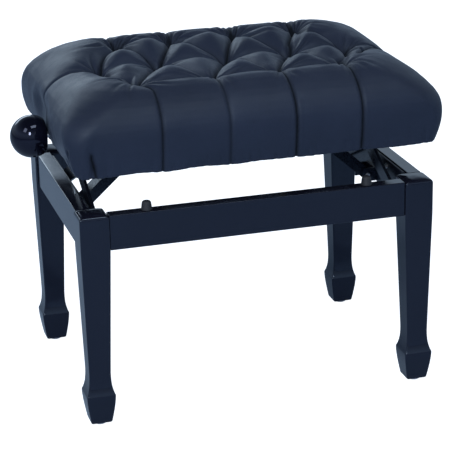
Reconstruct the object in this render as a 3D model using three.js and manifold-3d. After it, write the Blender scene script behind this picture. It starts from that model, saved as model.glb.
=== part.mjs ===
// Height-adjustable upholstered piano bench.
// Millimetres, +Z up, +X to the right, the front looks along -Y.
// Origin: on the floor, under the middle of the whole object's box.
import * as THREE from "three";
import { mergeVertices } from "three/addons/utils/BufferGeometryUtils.js";
import { RoundedBoxGeometry } from "three/addons/geometries/RoundedBoxGeometry.js";
import Module from "manifold-3d";

// ---------------------------------------------------------------- driving dimensions
const CENTRE_X = 24.25; // moves the frame so that the box, knob included, is centred on X = 0
const GAP = 0.3; // clearance kept between touching pieces

// leg frame
const FRAME_W = 565; // over the legs, along X
const FRAME_D = 399.2; // over the legs, along Y
const RAIL_TOP = 343;
const RAIL_H = 55;
const RAIL_T = 22;
const RAIL_INSET = 3; // rail face behind the leg face
const LEG_TOP = 46; // square section at the rails
const LEG_CORNER_R = 2.6;
const GLIDE_H = 4.7;
const GLIDE_R = 11;
const BUMPER_X = 176;
const BUMPER_H = 14;
const BUMPER_R = 8.8;

// seat
const SEAT_UNDER = 410.5; // underside of the wooden seat frame at rest
const BATTEN_H = 29;
const BATTEN_T = 20;
const SEAT_HX = 274; // half size of the wooden seat frame
const SEAT_HY = 200;
const BOARD_Z = 439.8;
const BOARD_T = 12;
const CUSHION_Z0 = 409;
const CUSHION_TOP = 541;

// spindle, nuts, struts
const SPINDLE_Z = 420;
const SPINDLE_R = 6; // threaded length
const JOURNAL_R = 5; // plain ends
const STRUT_FOOT_X = 240;
const STRUT_FOOT_Z = 301;
const STRUT_HEAD_X = 107;
const NUT_PIN_R = 4;
const EYE_R = 8.75; // strut head hole, wide because this pivot is left open

// scissor ends
const ARM_L = 270;
const ARM_W = 24;
const ARM_T = 5;
const PIN_Y = -130;
const LOW_PIN_Z = 305;
const HIGH_PIN_Z = 415;
const SHAFT_R = 5;
const ARM_A_X = 238.9; // inner face of arm A, arm A is nearest the middle
const ARM_B_X = 244.5; // inner face of arm B

// knob
const KNOB_R = 33.65;
const KNOB_X = -312.8;
const KNOB_FLAT_X = -291.7;

// ---------------------------------------------------------------- materials
const mat = (color, roughness, metalness) =>
  new THREE.MeshStandardMaterial({ color, roughness, metalness });
const LACQUER = () => mat(0x0b0d13, 0.16, 0);
const LEATHER = () => mat(0x2a3245, 0.42, 0);
const PLASTIC = () => mat(0x08090b, 0.12, 0);
const RUBBER = () => mat(0x131418, 0.7, 0);
const GLIDE = () => mat(0xa4a9ba, 0.5, 0);
const STEEL = () => mat(0x1a1c22, 0.45, 0.6);
const ZINC = () => mat(0x9a9da2, 0.32, 1);
const BRASS = () => mat(0xa98b4c, 0.35, 1);
const PLY = () => mat(0x2a2725, 0.7, 0);
const PINE = () => mat(0x262424, 0.7, 0);

// ---------------------------------------------------------------- helpers
const wasm = await Module();
wasm.setup();

function solid(geometry) {
  const g = geometry.clone();
  g.deleteAttribute("normal");
  g.deleteAttribute("uv");
  const m = mergeVertices(g, 1e-3);
  return new wasm.Manifold(
    new wasm.Mesh({
      numProp: 3,
      vertProperties: new Float32Array(m.attributes.position.array),
      triVerts: new Uint32Array(m.index.array),
    }),
  );
}

function geometryOf(manifold) {
  const mesh = manifold.getMesh();
  const pos = new Float32Array((mesh.vertProperties.length / mesh.numProp) * 3);
  for (let i = 0; i < pos.length / 3; i++)
    for (let k = 0; k < 3; k++) pos[3 * i + k] = mesh.vertProperties[mesh.numProp * i + k];
  const g = new THREE.BufferGeometry();
  g.setAttribute("position", new THREE.BufferAttribute(pos, 3));
  g.setIndex(new THREE.BufferAttribute(new Uint32Array(mesh.triVerts), 1));
  const flat = g.toNonIndexed();
  flat.computeVertexNormals();
  return flat;
}

function cut(base, ...tools) {
  let s = solid(base);
  for (const t of tools) s = s.subtract(solid(t));
  return geometryOf(s);
}

function join(...parts) {
  let s = solid(parts[0]);
  for (const p of parts.slice(1)) s = s.add(solid(p));
  return geometryOf(s);
}

const bench = new THREE.Group();
const model = new THREE.Group();
model.position.x = CENTRE_X;
bench.add(model);

function piece(name, geometry, material, parent = model) {
  const m = new THREE.Mesh(geometry, material);
  m.name = name;
  parent.add(m);
  return m;
}

// box between two corners
function box(x0, x1, y0, y1, z0, z1) {
  return new THREE.BoxGeometry(x1 - x0, y1 - y0, z1 - z0).translate(
    (x0 + x1) / 2,
    (y0 + y1) / 2,
    (z0 + z1) / 2,
  );
}

function roundedBox(x0, x1, y0, y1, z0, z1, r, segments = 1) {
  return new RoundedBoxGeometry(x1 - x0, y1 - y0, z1 - z0, segments, r).translate(
    (x0 + x1) / 2,
    (y0 + y1) / 2,
    (z0 + z1) / 2,
  );
}

// cylinder from point to point along one axis
function rod(axis, a, b, from, to, r, segments = 20) {
  const g = new THREE.CylinderGeometry(r, r, Math.abs(to - from), segments);
  const mid = (from + to) / 2;
  if (axis === "x") return g.rotateZ(Math.PI / 2).translate(mid, a, b);
  if (axis === "y") return g.translate(a, mid, b);
  return g.rotateX(Math.PI / 2).translate(a, b, mid);
}

// turned body: profile [radius, height], about +Z
function turned(profile, segments = 18) {
  const build = (p) =>
    new THREE.LatheGeometry(
      p.map(([r, h]) => new THREE.Vector2(r, h)),
      segments,
    ).rotateX(Math.PI / 2);
  const g = build(profile);
  return solid(g).volume() > 0 ? g : build([...profile].reverse());
}
const alongX = (g) => g.rotateY(Math.PI / 2); // +Z of the profile becomes +X
const alongMinusX = (g) => g.rotateY(-Math.PI / 2);

// stack of rounded rectangles: rows of [z, half x, half y, corner radius, centre x, centre y]
function stacked(rows, perCorner) {
  const n = 4 * (perCorner + 1);
  const g = new THREE.CylinderGeometry(1, 1, 1, n, rows.length - 1);
  const p = g.attributes.position;
  for (let i = 0; i < p.count; i++) {
    const x = p.getX(i),
      y = -p.getZ(i),
      row = rows[Math.round((p.getY(i) + 0.5) * (rows.length - 1))];
    const [z, hx, hy, r, cx = 0, cy = 0] = row;
    if (Math.hypot(x, y) < 0.5) {
      p.setXYZ(i, cx, cy, z);
      continue;
    }
    const k = ((Math.round((Math.atan2(y, x) / (2 * Math.PI)) * n) % n) + n) % n;
    const corner = Math.floor(k / (perCorner + 1)),
      j = k % (perCorner + 1);
    const a = (corner + j / perCorner) * (Math.PI / 2);
    const sx = [1, -1, -1, 1][corner],
      sy = [1, 1, -1, -1][corner];
    p.setXYZ(i, cx + sx * (hx - r) + r * Math.cos(a), cy + sy * (hy - r) + r * Math.sin(a), z);
  }
  return g;
}

// the same outline as plain points, with no point repeated
function plain(shape, divisions, holeDivisions) {
  const tidy = (path, d) => {
    const out = [];
    for (const p of path.getPoints(d))
      if (!out.length || p.distanceTo(out[out.length - 1]) > 0.02) out.push(p);
    while (out.length > 1 && out[0].distanceTo(out[out.length - 1]) <= 0.02) out.pop();
    return out;
  };
  const s = new THREE.Shape(tidy(shape, divisions));
  s.holes = shape.holes.map((h) => new THREE.Path(tidy(h, holeDivisions)));
  return s;
}

// plate cut from a Y-Z outline, x0 to x0 + thickness
function platePart(shape, x0, thickness, divisions = 2, holeDivisions = 6) {
  return new THREE.ExtrudeGeometry(plain(shape, divisions, holeDivisions), {
    depth: thickness,
    bevelEnabled: false,
  }).applyMatrix4(
    new THREE.Matrix4().makeBasis(
      new THREE.Vector3(0, 1, 0),
      new THREE.Vector3(0, 0, 1),
      new THREE.Vector3(1, 0, 0),
    ).setPosition(x0, 0, 0),
  );
}

function roundedOutline(u0, u1, v0, v1, r) {
  const s = new THREE.Shape();
  s.moveTo(u0 + r, v0);
  s.lineTo(u1 - r, v0);
  s.absarc(u1 - r, v0 + r, r, -Math.PI / 2, 0, false);
  s.lineTo(u1, v1 - r);
  s.absarc(u1 - r, v1 - r, r, 0, Math.PI / 2, false);
  s.lineTo(u0 + r, v1);
  s.absarc(u0 + r, v1 - r, r, Math.PI / 2, Math.PI, false);
  s.lineTo(u0, v0 + r);
  s.absarc(u0 + r, v0 + r, r, Math.PI, 1.5 * Math.PI, false);
  return s;
}

function hole(u, v, r) {
  return new THREE.Path().absarc(u, v, r, 0, 2 * Math.PI, true);
}

function slot(u0, u1, v, r) {
  const p = new THREE.Path();
  p.moveTo(u0, v + r);
  p.absarc(u0, v, r, Math.PI / 2, 1.5 * Math.PI, false);
  p.lineTo(u1, v - r);
  p.absarc(u1, v, r, -Math.PI / 2, Math.PI / 2, false);
  p.lineTo(u0, v + r);
  return p;
}

// ---------------------------------------------------------------- legs, glides
// Square leg: plain at the rails, tapered to the ankle, spade foot, slightly domed top.
const LEG_ROWS = [
  // z, half size
  [5, 15.6],
  [6.2, 16.6],
  [15, 18.3],
  [25, 20.0],
  [35, 21.4],
  [44, 22.4],
  [50, 22.75],
  [52.5, 22.6],
  [54.5, 21.9],
  [58, 20.5],
  [63, 19.0],
  [70, 17.8],
  [78, 17.2],
  [86, 17.0],
  [288, 23.0],
  [338.8, 23.0],
  [341.2, 22.4],
  [343, 20.6],
  [344.7, 17],
  [346, 12],
  [346.6, 7],
];
const legShift = (z) => {
  if (z >= 288) return 0;
  if (z >= 86) return (1.4 * (288 - z)) / 202;
  return 1.4 + 0.4 * Math.min(1, (86 - z) / 34.5);
};
for (const [name, sx, sy] of [
  ["front_left", -1, -1],
  ["front_right", 1, -1],
  ["back_left", -1, 1],
  ["back_right", 1, 1],
]) {
  const cx = sx * (FRAME_W / 2 - LEG_TOP / 2),
    cy = sy * (FRAME_D / 2 - LEG_TOP / 2);
  const rows = LEG_ROWS.map(([z, h]) => [
    z,
    h,
    h,
    LEG_CORNER_R,
    cx + sx * legShift(z),
    cy + sy * legShift(z),
  ]);
  const fx = rows[0][4],
    fy = rows[0][5];
  piece(
    `leg_${name}`,
    cut(stacked(rows, 2), rod("z", fx, fy, 4, 17, 3.3, 10)),
    LACQUER(),
  );
  // glide: a domed disc on a short stem that sits in the leg
  piece(
    `glide_${name}`,
    turned(
      [
        [0, 0],
        [8.2, 0],
        [10.2, 1],
        [GLIDE_R, 2.6],
        [GLIDE_R, GLIDE_H],
        [3, GLIDE_H],
        [3, 16],
        [0, 16],
      ],
      16,
    ).translate(fx, fy, 0),
    GLIDE(),
  );
}

// ---------------------------------------------------------------- rails, bumpers
const LEG_IN_X = FRAME_W / 2 - LEG_TOP, // inner faces of the legs
  LEG_IN_Y = FRAME_D / 2 - LEG_TOP;
const RAIL_X = FRAME_W / 2 - RAIL_INSET - RAIL_T, // inner faces of the side rails
  RAIL_Y = FRAME_D / 2 - RAIL_INSET - RAIL_T;
const RAIL_Z0 = RAIL_TOP - RAIL_H;
const BASE_SCREW_Y = [-70, 70];
const SCREW_R = 2;

for (const [name, s] of [
  ["front", -1],
  ["back", 1],
]) {
  const y = [s * RAIL_Y, s * (RAIL_Y + RAIL_T)].sort((a, b) => a - b);
  piece(
    `rail_${name}`,
    roundedBox(-LEG_IN_X + GAP, LEG_IN_X - GAP, y[0], y[1], RAIL_Z0, RAIL_TOP, 1.2),
    LACQUER(),
  );
  for (const [side, t] of [
    ["left", -1],
    ["right", 1],
  ])
    piece(
      `bumper_${name}_${side}`,
      turned(
        [
          [0, 0],
          [BUMPER_R, 0],
          [BUMPER_R, 2],
          [7.4, 10.5],
          [6.2, 13.2],
          [4.6, BUMPER_H],
          [0, BUMPER_H],
        ],
        14,
      ).translate(t * BUMPER_X, s * (RAIL_Y + RAIL_T / 2), RAIL_TOP + GAP),
      RUBBER(),
    );
}
for (const [name, s] of [
  ["left", -1],
  ["right", 1],
]) {
  const x = [s * RAIL_X, s * (RAIL_X + RAIL_T)].sort((a, b) => a - b);
  piece(
    `rail_${name}`,
    cut(
      roundedBox(x[0], x[1], -LEG_IN_Y + GAP, LEG_IN_Y - GAP, RAIL_Z0, RAIL_TOP, 1.2),
      ...BASE_SCREW_Y.map((y) => rod("x", y, 331, s * (RAIL_X - 1), s * (RAIL_X + 13), SCREW_R + GAP, 10)),
    ),
    LACQUER(),
  );
}

// ---------------------------------------------------------------- base brackets, clevises
const BRACKET_T = 3;
const BASE_BR_X = RAIL_X - GAP; // outer face of the base bracket
const SLOT_Y = [101, 139];

const screwProfile = [
  [0, 0],
  [SCREW_R, 1.2],
  [SCREW_R, 14.5],
  [4.6, 14.5],
  [4.6, 16],
  [3.4, 17.3],
  [0, 17.3],
];

for (const [name, s] of [
  ["left", -1],
  ["right", 1],
]) {
  const outline = roundedOutline(-148, 148, 290, 341, 9);
  outline.holes.push(hole(PIN_Y, LOW_PIN_Z, SHAFT_R + GAP));
  outline.holes.push(slot(SLOT_Y[0], SLOT_Y[1], LOW_PIN_Z, SHAFT_R + 1.3));
  for (const y of BASE_SCREW_Y) outline.holes.push(hole(y, 331, SCREW_R + GAP));
  const x0 = s < 0 ? -BASE_BR_X : BASE_BR_X - BRACKET_T;
  piece(`base_bracket_${name}`, platePart(outline, x0, BRACKET_T), STEEL());

  // clevis for the strut foot: back plate and two ears
  const cIn = BASE_BR_X - BRACKET_T - GAP; // back of the clevis
  const bx = (a, b) => (s < 0 ? [-a, -b] : [b, a]);
  const [p0, p1] = bx(cIn, cIn - 3);
  const [e0, e1] = bx(cIn, STRUT_FOOT_X - 9);
  const clevis = join(
    box(p0, p1, -20, 20, 290, 313),
    box(e0, e1, 15.6, 19.6, 290, 312),
    box(e0, e1, -19.6, -15.6, 290, 312),
  );
  piece(
    `strut_clevis_${name}`,
    cut(clevis, rod("y", s * STRUT_FOOT_X, STRUT_FOOT_Z, -25, 25, 4 + GAP, 14)),
    STEEL(),
  );
  piece(
    `strut_pin_${name}`,
    turned(
      [
        [0, -21.6],
        [4, -21.6],
        [4, 20],
        [6.5, 20],
        [6.5, 22.4],
        [0, 22.4],
      ],
      14,
    )
      .rotateX(-Math.PI / 2)
      .translate(s * STRUT_FOOT_X, 0, STRUT_FOOT_Z),
    ZINC(),
  );
  // two wood screws hold the bracket to the side rail
  BASE_SCREW_Y.forEach((y, i) => {
    const g = turned(screwProfile, 9);
    // the head lies on the bracket's inner face
    const face = BASE_BR_X - BRACKET_T - GAP;
    piece(
      `rail_screw_${name}_${i ? "back" : "front"}`,
      s < 0
        ? alongX(g).translate(-face - 14.5, y, 331)
        : alongMinusX(g).translate(face + 14.5, y, 331),
      ZINC(),
    );
  });
}

// ---------------------------------------------------------------- scissor ends
// Two crossed flat arms at each end. Shafts across the bench join the left and right arms.
const THETA = Math.asin((HIGH_PIN_Z - LOW_PIN_Z) / ARM_L);
const REAR_Y = PIN_Y + ARM_L * Math.cos(THETA);

function arm(centreHole) {
  // along +Y from the front pin at the origin
  const r = ARM_W / 2;
  const s = new THREE.Shape();
  s.moveTo(0, -r);
  s.lineTo(ARM_L, -r);
  s.absarc(ARM_L, 0, r, -Math.PI / 2, Math.PI / 2, false);
  s.lineTo(0, r);
  s.absarc(0, 0, r, Math.PI / 2, 1.5 * Math.PI, false);
  s.holes.push(hole(0, 0, SHAFT_R + GAP), hole(ARM_L, 0, SHAFT_R + GAP));
  s.holes.push(hole(ARM_L / 2, 0, centreHole));
  return s;
}
for (const [name, s] of [
  ["left", -1],
  ["right", 1],
]) {
  const ax = s < 0 ? -(ARM_A_X + ARM_T) : ARM_A_X;
  const bx = s < 0 ? -(ARM_B_X + ARM_T) : ARM_B_X;
  const a = platePart(arm(4 + GAP), 0, ARM_T, 5).rotateX(THETA);
  piece(`scissor_arm_a_${name}`, a.translate(ax, PIN_Y, LOW_PIN_Z), STEEL());
  const b = platePart(arm(5.6), 0, ARM_T, 5).rotateX(-THETA);
  piece(`scissor_arm_b_${name}`, b.translate(bx, PIN_Y, HIGH_PIN_Z), STEEL());
  // centre rivet: fixed in arm A, turns in the wider hole of arm B
  const cy = PIN_Y + (ARM_L / 2) * Math.cos(THETA),
    cz = (LOW_PIN_Z + HIGH_PIN_Z) / 2;
  const g = turned(
    [
      [0, -2.2],
      [4.5, -2.2],
      [6.5, -1],
      [6.5, 0],
      [4, 0],
      [4, ARM_B_X + ARM_T - ARM_A_X + 2 * GAP],
      [7.4, ARM_B_X + ARM_T - ARM_A_X + 2 * GAP],
      [7.4, ARM_B_X + ARM_T - ARM_A_X + 2 * GAP + 0.8],
      [0, ARM_B_X + ARM_T - ARM_A_X + 2 * GAP + 0.8],
    ],
    12,
  );
  piece(
    `scissor_rivet_${name}`,
    s < 0
      ? alongMinusX(g).translate(-ARM_A_X + GAP, cy, cz)
      : alongX(g).translate(ARM_A_X - GAP, cy, cz),
    ZINC(),
  );
}
const BASE_REACH = BASE_BR_X - 0.8, // shaft ends inside the base brackets
  SEAT_REACH = 253.4; // shaft ends inside the seat brackets
const shaft = (y, z, reach) => rod("x", y, z, -reach, reach, SHAFT_R, 16);
piece("scissor_shaft_a_front", shaft(PIN_Y, LOW_PIN_Z, BASE_REACH), ZINC());
piece("scissor_shaft_a_rear", shaft(REAR_Y, HIGH_PIN_Z, SEAT_REACH), ZINC());
piece("scissor_shaft_b_front", shaft(PIN_Y, HIGH_PIN_Z, SEAT_REACH), ZINC());
// the rear foot of arm B slides on a short headed pin at each end
for (const [name, s] of [
  ["left", -1],
  ["right", 1],
]) {
  const g = turned(
    [
      [0, -2.6],
      [7, -2.6],
      [7.6, -1.8],
      [7.6, 0],
      [SHAFT_R, 0],
      [SHAFT_R, BASE_REACH - ARM_B_X + GAP],
      [0, BASE_REACH - ARM_B_X + GAP],
    ],
    14,
  );
  piece(
    `scissor_slide_pin_${name}`,
    s < 0
      ? alongMinusX(g).translate(-ARM_B_X + GAP, REAR_Y, LOW_PIN_Z)
      : alongX(g).translate(ARM_B_X - GAP, REAR_Y, LOW_PIN_Z),
    ZINC(),
  );
}

// ---------------------------------------------------------------- struts
// Each strut is a pair of flat bars joined by a web over their lower part.
const STRUT_DX = STRUT_FOOT_X - STRUT_HEAD_X,
  STRUT_DZ = SPINDLE_Z - STRUT_FOOT_Z,
  STRUT_L = Math.hypot(STRUT_DX, STRUT_DZ),
  STRUT_ANGLE = Math.atan2(STRUT_DZ, STRUT_DX);
const STRUT_IN = 11.2,
  STRUT_T = 4; // side bars from |y| 11.2 to 15.2

function strutSide(y0) {
  // outline in the bar's own plane, foot at the origin, head along +u
  const s = new THREE.Shape();
  const r = 9,
    R = 14;
  s.moveTo(0, -r);
  s.lineTo(STRUT_L - 18, -r);
  s.quadraticCurveTo(STRUT_L - 12, -r, STRUT_L - 7, -R * 0.866);
  s.absarc(STRUT_L, 0, R, -Math.PI * 0.667, Math.PI * 0.667, false);
  s.quadraticCurveTo(STRUT_L - 12, r, STRUT_L - 18, r);
  s.lineTo(0, r);
  s.absarc(0, 0, r, Math.PI / 2, 1.5 * Math.PI, false);
  s.holes.push(hole(0, 0, 4 + GAP), hole(STRUT_L, 0, EYE_R));
  const g = new THREE.ExtrudeGeometry(plain(s, 4, 7), { depth: STRUT_T, bevelEnabled: false });
  // u -> X, v -> Z, depth -> -Y
  return g.applyMatrix4(
    new THREE.Matrix4()
      .makeBasis(new THREE.Vector3(1, 0, 0), new THREE.Vector3(0, 0, 1), new THREE.Vector3(0, -1, 0))
      .setPosition(0, y0 + STRUT_T, 0),
  );
}
for (const [name, s] of [
  ["left", -1],
  ["right", 1],
]) {
  let g = join(
    strutSide(STRUT_IN),
    strutSide(-STRUT_IN - STRUT_T),
    box(16, 108, -STRUT_IN - 1, STRUT_IN + 1, 5.5, 9),
  );
  g = g.rotateY(-STRUT_ANGLE);
  if (s > 0) g = g.rotateZ(Math.PI);
  piece(`strut_${name}`, g.translate(s * STRUT_FOOT_X, 0, STRUT_FOOT_Z), STEEL());
}

// ---------------------------------------------------------------- nuts
for (const [name, s] of [
  ["left", -1],
  ["right", 1],
]) {
  const x = s * STRUT_HEAD_X;
  piece(
    `nut_${name}`,
    cut(
      join(
        roundedBox(x - 12, x + 12, -STRUT_IN + 0.5, STRUT_IN - 0.5, SPINDLE_Z - 11, SPINDLE_Z + 11, 1),
        rod("y", x, SPINDLE_Z, -18.5, 18.5, NUT_PIN_R, 14),
      ),
      rod("x", 0, SPINDLE_Z, x - 15, x + 15, SPINDLE_R + GAP, 16),
    ),
    BRASS(),
  );
}

// ---------------------------------------------------------------- spindle, collars, knob
piece(
  "spindle",
  alongX(
    turned(
      [
        [0, -302.5],
        [JOURNAL_R - 0.8, -302.5],
        [JOURNAL_R, -301.7],
        [JOURNAL_R, -200],
        [SPINDLE_R, -199],
        [SPINDLE_R, 199],
        [JOURNAL_R, 200],
        [JOURNAL_R, 252.6],
        [JOURNAL_R - 0.8, 253.4],
        [0, 253.4],
      ],
      18,
    ),
  ).translate(0, 0, SPINDLE_Z),
  ZINC(),
);
const BUSH_R = 8;
const UP_BR_X = SEAT_HX - BATTEN_T - GAP; // outer face of the seat bracket
for (const [name, s] of [
  ["left", -1],
  ["right", 1],
]) {
  const flat = UP_BR_X - BRACKET_T; // inner face of the seat bracket
  const bush = turned(
    [
      [JOURNAL_R + GAP, 0],
      [11, 0],
      [11, 2],
      [BUSH_R, 2],
      [BUSH_R, 2 + BRACKET_T],
      [JOURNAL_R + GAP, 2 + BRACKET_T],
      [JOURNAL_R + GAP, 0],
    ],
    16,
  );
  piece(
    `spindle_bush_${name}`,
    s < 0
      ? alongMinusX(bush).translate(-flat + 2 + GAP, 0, SPINDLE_Z)
      : alongX(bush).translate(flat - 2 - GAP, 0, SPINDLE_Z),
    BRASS(),
  );
  const ring = turned(
    [
      [JOURNAL_R + GAP, 0],
      [10.2, 0],
      [11, 0.8],
      [11, 8.2],
      [10.2, 9],
      [JOURNAL_R + GAP, 9],
      [JOURNAL_R + GAP, 0],
    ],
    16,
  );
  piece(
    `spindle_collar_${name}`,
    s < 0
      ? alongX(ring).translate(-flat + 2 + 3 * GAP, 0, SPINDLE_Z)
      : alongMinusX(ring).translate(flat - 2 - 3 * GAP, 0, SPINDLE_Z),
    ZINC(),
  );
}

const knobProfile = [
  [0, 12],
  [JOURNAL_R + GAP, 12],
  [JOURNAL_R + GAP, 0],
  [25, 0],
];
{
  // ball with one side cut flat; heights measured from the flat, away from the seat
  const c = KNOB_FLAT_X - KNOB_X; // flat to centre
  const a0 = Math.acos(c / KNOB_R);
  for (let i = 0; i <= 14; i++) {
    const a = a0 + 0.045 + ((Math.PI - a0 - 0.045) * i) / 14;
    knobProfile.push([Math.max(0, KNOB_R * Math.sin(a)), c - KNOB_R * Math.cos(a)]);
  }
  knobProfile[knobProfile.length - 1][0] = 0;
}
piece(
  "knob",
  alongMinusX(turned(knobProfile, 28)).translate(KNOB_FLAT_X, 0, SPINDLE_Z),
  PLASTIC(),
);

// ---------------------------------------------------------------- seat brackets
for (const [name, s] of [
  ["left", -1],
  ["right", 1],
]) {
  const outline = roundedOutline(-148, 148, 404, BOARD_Z - GAP, 3);
  outline.holes.push(hole(PIN_Y, HIGH_PIN_Z, SHAFT_R + GAP));
  outline.holes.push(slot(SLOT_Y[0], SLOT_Y[1], HIGH_PIN_Z, SHAFT_R + 1.3));
  outline.holes.push(hole(0, SPINDLE_Z, BUSH_R + GAP));
  const x0 = s < 0 ? -UP_BR_X : UP_BR_X - BRACKET_T;
  const fx = s < 0 ? [-UP_BR_X, -UP_BR_X + 26] : [UP_BR_X - 26, UP_BR_X];
  const plate = join(
    platePart(outline, x0, BRACKET_T),
    box(fx[0], fx[1], -145, 145, BOARD_Z - GAP - BRACKET_T, BOARD_Z - GAP),
  );
  const sx = s * (UP_BR_X - 18);
  piece(
    `seat_bracket_${name}`,
    cut(plate, ...BASE_SCREW_Y.map((y) => rod("z", sx, y, 430, 445, SCREW_R + GAP, 10))),
    STEEL(),
  );
  // screws up into the seat board
  BASE_SCREW_Y.forEach((y, i) => {
    piece(
      `board_screw_${name}_${i ? "back" : "front"}`,
      turned(
        [
          [0, -2.8],
          [3.4, -2.8],
          [4.6, -1.5],
          [4.6, 0],
          [SCREW_R, 0],
          [SCREW_R, 10],
          [0, 11.2],
        ],
        9,
      ).translate(sx, y, BOARD_Z - GAP - BRACKET_T - GAP),
      ZINC(),
    );
  });
}

// ---------------------------------------------------------------- seat frame
const BATTEN_Z = [SEAT_UNDER, SEAT_UNDER + BATTEN_H];
for (const [name, s] of [
  ["front", -1],
  ["back", 1],
]) {
  const y = [s * (SEAT_HY - BATTEN_T), s * SEAT_HY].sort((a, b) => a - b);
  piece(`seat_batten_${name}`, box(-SEAT_HX, SEAT_HX, y[0], y[1], ...BATTEN_Z), PINE());
}
for (const [name, s] of [
  ["left", -1],
  ["right", 1],
]) {
  const x = [s * (SEAT_HX - BATTEN_T), s * SEAT_HX].sort((a, b) => a - b);
  const g = box(x[0], x[1], -SEAT_HY + BATTEN_T + GAP, SEAT_HY - BATTEN_T - GAP, ...BATTEN_Z);
  piece(
    `seat_batten_${name}`,
    s < 0 ? cut(g, rod("x", 0, SPINDLE_Z, x[0] - 1, x[1] + 1, 7, 20)) : g,
    PINE(),
  );
}
piece(
  "seat_board",
  cut(
    box(-SEAT_HX, SEAT_HX, -SEAT_HY, SEAT_HY, BOARD_Z, BOARD_Z + BOARD_T),
    ...[-1, 1].flatMap((s) =>
      BASE_SCREW_Y.map((y) => rod("z", s * (UP_BR_X - 18), y, BOARD_Z - 1, BOARD_Z + 9, SCREW_R + GAP, 10)),
    ),
  ),
  PLY(),
);

// ---------------------------------------------------------------- cushion
// Crowned block whose leather sides come down over the wooden seat frame.
const CUSHION_ROWS = [
  // z, half x, half y, corner radius
  [CUSHION_Z0, 279, 206, 16],
  [411, 280, 207, 18],
  [425, 282, 209, 24],
  [440, 285.5, 210.5, 30],
  [447, 288, 212, 33],
  [456, 294, 213, 37],
  [468, 297.7, 213, 42],
  [481, 298, 212, 47],
  [496, 294.5, 207, 54],
  [509, 286, 198, 60],
  [520, 271, 184, 64],
  [529, 250, 165, 66],
  [536, 220, 137, 62],
  [540, 178, 98, 50],
  [CUSHION_TOP, 120, 50, 30],
];
piece(
  "cushion",
  cut(
    stacked(CUSHION_ROWS, 7),
    box(
      -SEAT_HX - GAP,
      SEAT_HX + GAP,
      -SEAT_HY - GAP,
      SEAT_HY + GAP,
      CUSHION_Z0 - 5,
      BOARD_Z + BOARD_T + GAP,
    ),
    rod("x", 0, SPINDLE_Z, -300, -SEAT_HX + 4, 7, 20),
  ),
  LEATHER(),
);

export default bench;
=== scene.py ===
import math

import bmesh
import bpy
import numpy as np
from mathutils import Matrix, Vector
from mathutils.kdtree import KDTree


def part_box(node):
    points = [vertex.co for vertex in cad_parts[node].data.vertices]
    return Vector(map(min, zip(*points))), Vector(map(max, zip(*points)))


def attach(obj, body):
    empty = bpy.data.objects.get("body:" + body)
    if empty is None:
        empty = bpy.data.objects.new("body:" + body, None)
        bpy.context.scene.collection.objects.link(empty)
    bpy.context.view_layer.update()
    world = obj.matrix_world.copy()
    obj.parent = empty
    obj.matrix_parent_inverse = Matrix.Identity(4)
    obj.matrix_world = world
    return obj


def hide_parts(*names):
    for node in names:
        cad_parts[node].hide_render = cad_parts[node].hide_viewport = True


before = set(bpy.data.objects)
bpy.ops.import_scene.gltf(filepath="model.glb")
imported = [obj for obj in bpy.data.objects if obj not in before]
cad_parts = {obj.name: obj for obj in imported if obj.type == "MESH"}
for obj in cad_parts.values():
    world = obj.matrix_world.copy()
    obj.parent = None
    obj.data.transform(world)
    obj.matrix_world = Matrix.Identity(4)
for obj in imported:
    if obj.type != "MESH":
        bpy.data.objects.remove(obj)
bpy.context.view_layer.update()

MM = 0.001
# middle of the leg frame in the row frame
XC = (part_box("leg_front_left")[0].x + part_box("leg_front_right")[1].x) / 2
scene = bpy.context.scene
scene.view_settings.view_transform = "Standard"


# ------------------------------------------------------------------ camera
def set_camera():
    az, el, roll = math.radians(-15.782), math.radians(19.559), math.radians(-1.27)
    back = Vector((math.sin(az) * math.cos(el), -math.cos(az) * math.cos(el), math.sin(el)))
    f = -back
    r = f.cross(Vector((0, 0, 1))).normalized()
    u = r.cross(f)
    r2 = math.cos(roll) * r + math.sin(roll) * u
    u2 = -math.sin(roll) * r + math.cos(roll) * u
    cam = bpy.data.cameras.new("camera")
    cam.lens, cam.sensor_width = 1864.48 / 452 * 36, 36
    cam.clip_start, cam.clip_end = 0.05, 60
    o = bpy.data.objects.new("camera", cam)
    m = Matrix((
        (r2.x, u2.x, back.x, XC - 0.78407),
        (r2.y, u2.y, back.y, -2.77462),
        (r2.z, u2.z, back.z, 1.25775),
        (0, 0, 0, 1),
    ))
    o.matrix_world = m
    scene.collection.objects.link(o)
    scene.camera = o


set_camera()


# ------------------------------------------------------------------ materials
def new_mat(name, **sockets):
    m = bpy.data.materials.new(name)
    m.use_nodes = True
    nt = m.node_tree
    b = nt.nodes["Principled BSDF"]
    for k, v in sockets.items():
        k = k.replace("_", " ").title()
        names = {"Ior": "IOR", "Specular": "Specular IOR Level"}
        s = b.inputs[names.get(k, k)]
        s.default_value = (*v, 1.0) if isinstance(v, tuple) and len(v) == 3 else v
    return m, nt, b


def tex(nt, kind, scale, coord="Object", detail=None, **kw):
    tc = nt.nodes.get("coords") or nt.nodes.new("ShaderNodeTexCoord")
    tc.name = "coords"
    t = nt.nodes.new(kind)
    t.inputs["Scale"].default_value = scale
    if detail is not None and "Detail" in t.inputs:
        t.inputs["Detail"].default_value = detail
    for k, v in kw.items():
        setattr(t, k, v)
    nt.links.new(tc.outputs[coord], t.inputs["Vector"])
    return t


def ramp(nt, src, stops):
    r = nt.nodes.new("ShaderNodeValToRGB")
    e = r.color_ramp.elements
    while len(e) < len(stops):
        e.new(0.5)
    for i, (p, c) in enumerate(stops):
        e[i].position = p
        e[i].color = (*c, 1) if isinstance(c, tuple) else (c, c, c, 1)
    nt.links.new(src, r.inputs["Fac"])
    return r


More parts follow.
